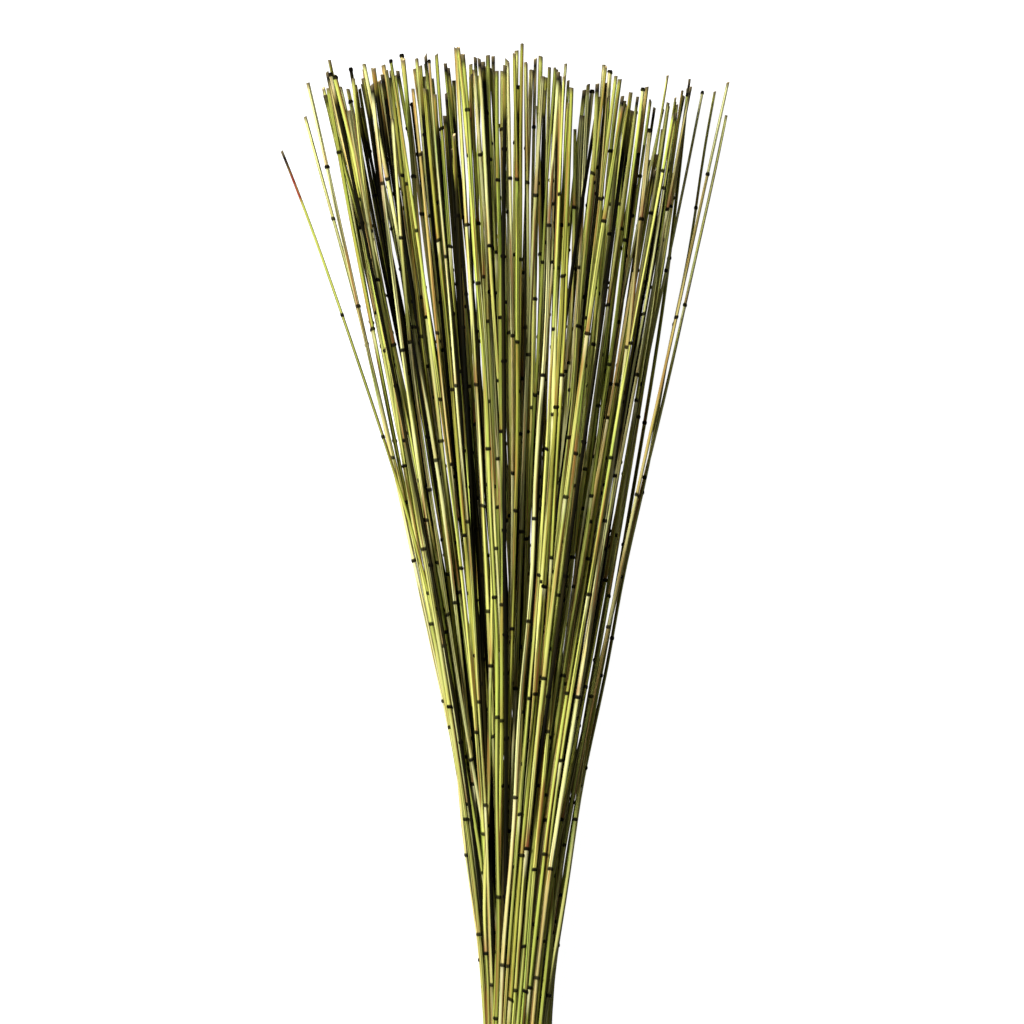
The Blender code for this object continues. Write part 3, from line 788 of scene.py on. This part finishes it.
def reed_finish(looks):
    """Dried reed: coloured by its kind, whose dark end is partly painted shade, streaked lengthwise with dark strips
    that are partly painted shade, dark at its joints, pale beside them.
    """
    finish = Finish("dried_reed", {"Specular IOR Level": 0.05})
    long_streaks = finish.noise((7, 9, 1), 3)
    strips = finish.noise((7, 6, 1), 1)
    tinge = finish.noise((2, 7, 1), 2)
    patches = finish.noise((1.5, 26, 1), 3, 0.6)
    specks = finish.noise((22, 700, 1), 2, 0.6)
    kind = finish.reading("kind")
    dull = finish.reading("dull")
    shown = (kind + (patches - 0.5) * looks.patchiness * kind.between(0.15, 0.3)).held()
    ramp = finish.node("ShaderNodeValToRGB", {"stops": looks.colour_stops()}, {0: shown})
    colour = ramp.outputs[0]
    shade = (1 - dull * 0.35) * (0.72 + long_streaks * 0.56)
    grey = finish.node("ShaderNodeCombineColor", None, {0: shade, 1: shade, 2: shade}).outputs[0]
    colour = finish.mixed(1.0, colour, grey, "MULTIPLY")
    lit = kind.between(0.15, 0.3)
    colour = finish.mixed(tinge.between(0.55, 0.7) * lit * looks.tinge_share, colour, looks.fresh)
    # Near-black lengthwise strips: partly real streaks of the skin, partly painted shade standing in for the dark
    # flanks between stems
    colour = finish.mixed(strips.between(0.52, 0.58) * looks.strip_and_shade_share, colour, looks.strip)
    rust = finish.noise((4, 10, 1), 2)
    colour = finish.mixed(rust.between(0.54, 0.66) * lit * looks.rust_share, colour, looks.rust)
    colour = finish.mixed(finish.reading("blush") * lit * 0.75 * patches.between(0.3, 0.6), colour, looks.blush)
    colour = finish.mixed(finish.reading("pale") * lit * 0.85 * patches.between(0.35, 0.55), colour, looks.bloom)
    colour = finish.mixed(specks.between(0.66, 0.74) * 0.55, colour, looks.band)
    colour = finish.mixed(finish.reading("tip_shade"), colour, looks.band)
    colour = finish.mixed(finish.reading("band"), colour, looks.band)
    colour = finish.mixed(finish.reading("pith"), colour, looks.pith)
    across = finish.value("ShaderNodeSeparateXYZ", None, {0: finish.place((1, 1, 1))}, output=0)
    ribs = (across * (2 * math.pi * looks.rib_count)).sine()
    height = ribs * 0.5 + long_streaks * 1.2 + specks * 0.5
    bump = finish.node("ShaderNodeBump", None, {"Strength": 0.5, "Distance": looks.rib_depth, "Height": height})
    matt = finish.reading("pith") * 0.3 + finish.reading("band") * 0.4
    roughness = (0.42 + dull * 0.2 + long_streaks * 0.14 + matt + (1 - lit) * 0.25).held()
    finish.feed({"Base Color": colour, "Roughness": roughness, "Normal": bump.outputs[0]})
    return finish.material


def jute_finish(looks):
    """Jute: matt fibres that follow the twist, with painted shade in the grooves between the strands."""
    finish = Finish("jute", {"Roughness": 0.92, "Specular IOR Level": 0.2})
    fibres = finish.noise((9, 1500, 1), 3, 0.6)
    patches = finish.noise((1, 120, 1), 2)
    colour = finish.mixed(fibres.between(0.3, 0.7), looks.shade, looks.light)
    colour = finish.mixed(patches.between(0.45, 0.75) * 0.4, colour, looks.shade)
    # Painted shade: the colour is darkened in the grooves between the strands
    colour = finish.mixed(finish.reading("groove") * 0.7, colour, looks.groove)
    height = fibres - finish.reading("groove") * 0.6
    bump = finish.node("ShaderNodeBump", None, {"Strength": 0.8, "Distance": 0.15 * MM, "Height": height})
    finish.feed({"Base Color": colour, "Normal": bump.outputs[0]})
    return finish.material


def length_property(name, description, default):
    return bpy.props.FloatProperty(name=name, description=description, default=default, min=0, subtype="DISTANCE",
                                   unit="LENGTH", precision=4)


def share_property(name, description, default):
    return bpy.props.FloatProperty(name=name, description=description, default=default, min=0, max=1,
                                   subtype="FACTOR")


def colour_property(name, description, default):
    return bpy.props.FloatVectorProperty(name=name, description=description, default=default, size=3, min=0, max=1,
                                         subtype="COLOR")


class ReedLooks(bpy.types.PropertyGroup):
    """Joints, colours and grain of the reeds."""

    shortest_stretch: length_property("Shortest stretch", "Least distance between two joints", 85 * MM)
    longest_stretch: length_property("Longest stretch", "Most distance between two joints", 155 * MM)
    collar: bpy.props.FloatProperty(name="Collar", description="Girth of a joint, as a share of the stem's",
                                    default=1.42, min=1, max=1.6)
    knob_share: share_property("Knobs", "Share of reeds that end in a joint", 0.12)
    bloom_share: share_property("Bloom", "Share of joints with a pale patch below", 0.17)
    blush_share: share_property("Blush", "Share of joints with a reddish stretch above", 0.3)
    rust_share: share_property("Rust", "How far brownish patches cover the green", 0.7)
    # Dark strips: partly real streaks, partly painted shade of the flanks between stems
    strip_and_shade_share: share_property("Strips", "How far dark lengthwise strips cover the skin", 0.85)
    tinge_share: share_property("Fresh green", "How far fresh green stretches cover the skin", 0.5)
    cut_slope: bpy.props.FloatProperty(name="Cut slope", description="How slanted the cut tips are", default=0.5)
    rib_count: bpy.props.IntProperty(name="Ribs", description="Fine ribs round a stem", default=18, min=0)
    rib_depth: length_property("Rib depth", "Depth of the fine ribs", 0.05 * MM)
    # Dark kinds: weathered reeds on the outside, and painted shade where dark reeds fill the depths of the bunch
    weathered_and_shade_share: share_property("Dark kinds", "Part of the colour scale that is dark, weathered reed", 0.16)
    dark_outside: share_property("Dark outside", "Share of dark reeds on the outside of the bunch", 0.05)
    # The dark reeds inside and towards the floor are painted shade of the bunch's depths, beyond the weathered ones
    weathered_and_shade_inside: share_property("Dark inside", "Share of dark reeds in the middle of the bunch", 0.36)
    painted_shade_below: share_property("Dark underneath", "Further share of dark reeds towards the floor", 0.25)
    stretch_change: share_property("Change by stretch", "How much the colour changes from joint to joint", 0.05)
    patchiness: share_property("Patchiness", "How much the colour changes within a stretch", 0.3)
    dark_tip_share: share_property("Dark tips", "Share of reeds that darken towards the tip", 0.3)
    # The dark colour serves both weathered reeds and painted shade in the depths of the bunch
    dark: colour_property("Dark", "Weathered reed", linear(13, 12, 3))
    shaded: colour_property("Deep olive", "Deep olive reed", linear(120, 116, 44))
    olive: colour_property("Olive", "Olive reed", linear(168, 166, 70))
    green: colour_property("Green", "Green reed", linear(168, 178, 78))
    bright: colour_property("Yellow-green", "Bright yellow-green reed", linear(199, 198, 104))
    pale: colour_property("Light", "Light yellow-green reed", linear(212, 212, 148))
    straw: colour_property("Straw", "Straw-coloured reed", linear(212, 186, 104))
    # Strip colour: partly real streaks, partly painted shade of the flanks between stems
    strip: colour_property("Strip", "Dark lengthwise strips of the skin", linear(34, 30, 8))
    fresh: colour_property("Fresh green", "Stretches that stayed green", linear(106, 142, 40))
    rust: colour_property("Rust", "Brownish patches", linear(136, 92, 44))
    blush: colour_property("Blush", "Reddish stretch above a joint", linear(124, 50, 34))
    bloom: colour_property("Bloom", "Waxy pale patch below a joint", linear(214, 210, 160))
    band: colour_property("Joint", "Dark ring of a joint, and dark tips", linear(9, 7, 3))
    pith: colour_property("Pith", "Inside of a cut stem", linear(206, 184, 134))

    def colour_stops(self):
        """Dark kinds at the low end, weathered reed and painted shade, then deep olive, olive, green, yellow-green,
        light and straw.
        """
        return ((0, tuple(c * 0.5 for c in self.dark)), (self.weathered_and_shade_share, self.dark), (0.24, self.shaded),
                (0.38, self.olive), (0.52, self.green), (0.7, self.bright), (0.86, self.pale), (1, self.straw))

    def kind_of(self, bunch, reed, rng):
        """Where a reed stands on the colour scale: dark more often inside and low in the bunch, as painted shade of
        its depths, else above.
        """
        across, up = bunch.spots[reed] / bunch.radius
        inside = 1 - smooth_step((math.hypot(across, up) - 0.5) / 0.5)
        # The shares inside and underneath paint shade into the depths of the bunch; the share outside is weathered
        # reed
        chance = self.dark_outside + (self.weathered_and_shade_inside - self.dark_outside) * inside + self.painted_shade_below * max(-up, 0)
        if reed in bunch.crown:
            chance = self.dark_outside
        if reed == bunch.stray:
            return STRAY_KIND
        if rng.random() < chance:
            return rng.uniform(0, self.weathered_and_shade_share)
        return rng.uniform(*LIT_KINDS)


class TwineLooks(bpy.types.PropertyGroup):
    """Colours and fuzz of the twine."""

    light: colour_property("Light fibre", "Jute fibres in the light", linear(196, 164, 118))
    shade: colour_property("Dark fibre", "Darker jute fibres", linear(150, 116, 76))
    # Groove colour: painted shade between the strands
    groove: colour_property("Groove", "Between the strands", linear(84, 60, 36))
    fibres: bpy.props.IntProperty(name="Loose fibres", description="Loose fibres on the turns", default=260, min=0)


class StudioLooks(bpy.types.PropertyGroup):
    """Floor, light and air of the studio."""

    floor: colour_property("Floor", "Colour of the floor", (0.22, 0.22, 0.22))
    glow: bpy.props.FloatProperty(name="Glow", description="Light that the floor gives off itself", default=0.98)
    key: bpy.props.FloatProperty(name="Key light", description="Strength of the key light", default=150, min=0)
    fill: bpy.props.FloatProperty(name="Fill light", description="Strength of the overhead light", default=2, min=0)
    air: bpy.props.FloatProperty(name="Air", description="Brightness of the surroundings", default=0.12, min=0)


@functools.cache
def the_bunch():
    return Bunch()


def put_in_place(piece, node):
    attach(piece, "root")
    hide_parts(node)


def reed_material(looks):
    return bpy.data.materials.get("dried_reed") or reed_finish(looks)


class REEDS_OT_outer_reeds(bpy.types.Operator):
    """Make the reeds on the outside of the bunch, each a piece of its own"""

    bl_idname = "reeds.outer_reeds"
    bl_label = "Outer reeds"

    def execute(self, context):
        looks, bunch = context.scene.reed_looks, the_bunch()
        for number, reed in enumerate(bunch.outer, 1):
            piece = make_piece(f"jointed_reed_{number:02d}", reed_surface(bunch, reed, looks), reed_material(looks))
            put_in_place(piece, f"reed_{number:02d}")
        return {"FINISHED"}


class REEDS_OT_sheaves(bpy.types.Operator):
    """Make the inner reeds, one piece for each sheaf of them"""

    bl_idname = "reeds.sheaves"
    bl_label = "Sheaves"

    def execute(self, context):
        looks, bunch = context.scene.reed_looks, the_bunch()
        for number, members in enumerate(bunch.sheaves, 1):
            surface = gathered([reed_surface(bunch, reed, looks) for reed in members])
            piece = make_piece(f"jointed_sheaf_{number:02d}", surface, reed_material(looks))
            put_in_place(piece, f"sheaf_{number:02d}")
        return {"FINISHED"}


class REEDS_OT_twine(bpy.types.Operator):
    """Make the twine: its turns round the bunch, its knot, its tails and its loose fibres"""

    bl_idname = "reeds.twine"
    bl_label = "Twine"

    def execute(self, context):
        looks, bunch = context.scene.twine_looks, the_bunch()
        paths = twine_paths(bunch)
        rng = np.random.default_rng((LOOKS_SEED, REED_COUNT))
        surfaces = [twisted_surface(path, TWINE_RADIUS, number) for number, path in enumerate(paths)]
        surfaces += [fibre_surfaces(path, TWINE_RADIUS, count, rng)
                     for path, count in zip(paths, (looks.fibres, 30, 24, 24))]
        put_in_place(make_piece("jute_twine", gathered(surfaces), jute_finish(looks)), "twine")
        return {"FINISHED"}


def point_at(thing, place, target):
    """Puts a lamp or camera at a place, looking at a target, with the frame's Y upwards in its view."""
    thing.location = place
    thing.rotation_euler = (Vector(target) - Vector(place)).to_track_quat("-Z", "Y").to_euler()


def add_lamp(name, place, target, size, power):
    lamp = bpy.data.objects.new(name, bpy.data.lights.new(name, "AREA"))
    lamp.data.shape = "SQUARE"
    lamp.data.size = size
    lamp.data.energy = power
    bpy.context.scene.collection.objects.link(lamp)
    point_at(lamp, place, target)


def floor_surface():
    """A flat disc under the bunch, in rings that widen outwards."""
    ring = np.linspace(0, 1, 6)[1:] ** 2 * FLOOR_REACH
    angle = 2 * math.pi * np.arange(64) / 64
    points = np.stack([ring[:, None] * np.cos(angle), ring[:, None] * np.sin(angle), np.zeros((5, 64))], axis=2)
    points = np.concatenate([points.reshape(-1, 3), np.zeros((1, 3))])
    at = np.arange(64)
    after = (at + 1) % 64
    start = np.arange(4)[:, None] * 64
    quads = np.stack([start + at, start + 64 + at, start + 64 + after, start + after], axis=2).reshape(-1, 4)
    triangles = np.stack([np.full(64, 320), at, after], axis=1)
    return points, quads, triangles, {}, np.zeros((len(quads), 4, 2)), np.zeros((64, 3, 2))


class REEDS_OT_studio(bpy.types.Operator):
    """Make the floor, the light and the camera"""

    bl_idname = "reeds.studio"
    bl_label = "Studio"

    def execute(self, context):
        scene, looks, bunch = context.scene, context.scene.studio_looks, the_bunch()
        finish = Finish("studio_floor", {
            "Base Color": (*looks.floor, 1), "Emission Color": (1, 1, 1, 1), "Emission Strength": looks.glow,
            "Roughness": 0.8, "Specular IOR Level": 0,
        })
        floor = make_piece("studio_floor", floor_surface(), finish.material)
        floor.visible_diffuse = False
        air = bpy.data.worlds.new("studio_air")
        air.use_nodes = True
        air.node_tree.nodes["Background"].inputs["Color"].default_value = (1, 1, 1, 1)
        air.node_tree.nodes["Background"].inputs["Strength"].default_value = looks.air
        scene.world = air
        scene.view_settings.view_transform = "Standard"
        middle = bunch.origin + ((PICTURE_SIZE / 2 - MIDDLE_COLUMN) * PIXEL, (TWINE_ROW - PICTURE_SIZE / 2) * PIXEL, 0)
        add_lamp("key_light", middle + KEY_PLACE, middle, KEY_SIZE, looks.key)
        add_lamp("overhead_light", middle + (0, 0, 2.4), middle, 2.0, looks.fill)
        camera = bpy.data.objects.new("camera", bpy.data.cameras.new("camera"))
        camera.data.lens = CAMERA_LENS
        camera.data.sensor_width = CAMERA_SENSOR
        camera.data.clip_end = 100
        height = PICTURE_SIZE * PIXEL * CAMERA_LENS / CAMERA_SENSOR
        scene.collection.objects.link(camera)
        point_at(camera, middle + (0, 0, height + FOCUS_HEIGHT), middle)
        scene.camera = camera
        return {"FINISHED"}


class REEDS_PT_bunch(bpy.types.Panel):
    """Lists the looks and the steps that make the bunch"""

    bl_label = "Bunch of Reeds"
    bl_idname = "REEDS_PT_bunch"
    bl_space_type = "VIEW_3D"
    bl_region_type = "UI"
    bl_category = "Reeds"

    def draw(self, context):
        for looks, steps in PANEL_ORDER:
            box = self.layout.box()
            for title in type(getattr(context.scene, looks)).__annotations__:
                box.prop(getattr(context.scene, looks), title)
            for step in steps:
                box.operator(step)


PANEL_ORDER = (
    ("reed_looks", ("reeds.outer_reeds", "reeds.sheaves")),
    ("twine_looks", ("reeds.twine",)),
    ("studio_looks", ("reeds.studio",)),
)
LOOKS = {"reed_looks": ReedLooks, "twine_looks": TwineLooks, "studio_looks": StudioLooks}
CLASSES = (*LOOKS.values(), REEDS_OT_outer_reeds, REEDS_OT_sheaves, REEDS_OT_twine, REEDS_OT_studio, REEDS_PT_bunch)


def register():
    for item in CLASSES:
        bpy.utils.register_class(item)
    for title, looks in LOOKS.items():
        setattr(bpy.types.Scene, title, bpy.props.PointerProperty(type=looks))


def unregister():
    for title in LOOKS:
        delattr(bpy.types.Scene, title)
    for item in reversed(CLASSES):
        bpy.utils.unregister_class(item)


def main():
    register()
    bpy.ops.reeds.studio()
    bpy.ops.reeds.outer_reeds()
    bpy.ops.reeds.sheaves()
    bpy.ops.reeds.twine()


if __name__ == "__main__":
    main()
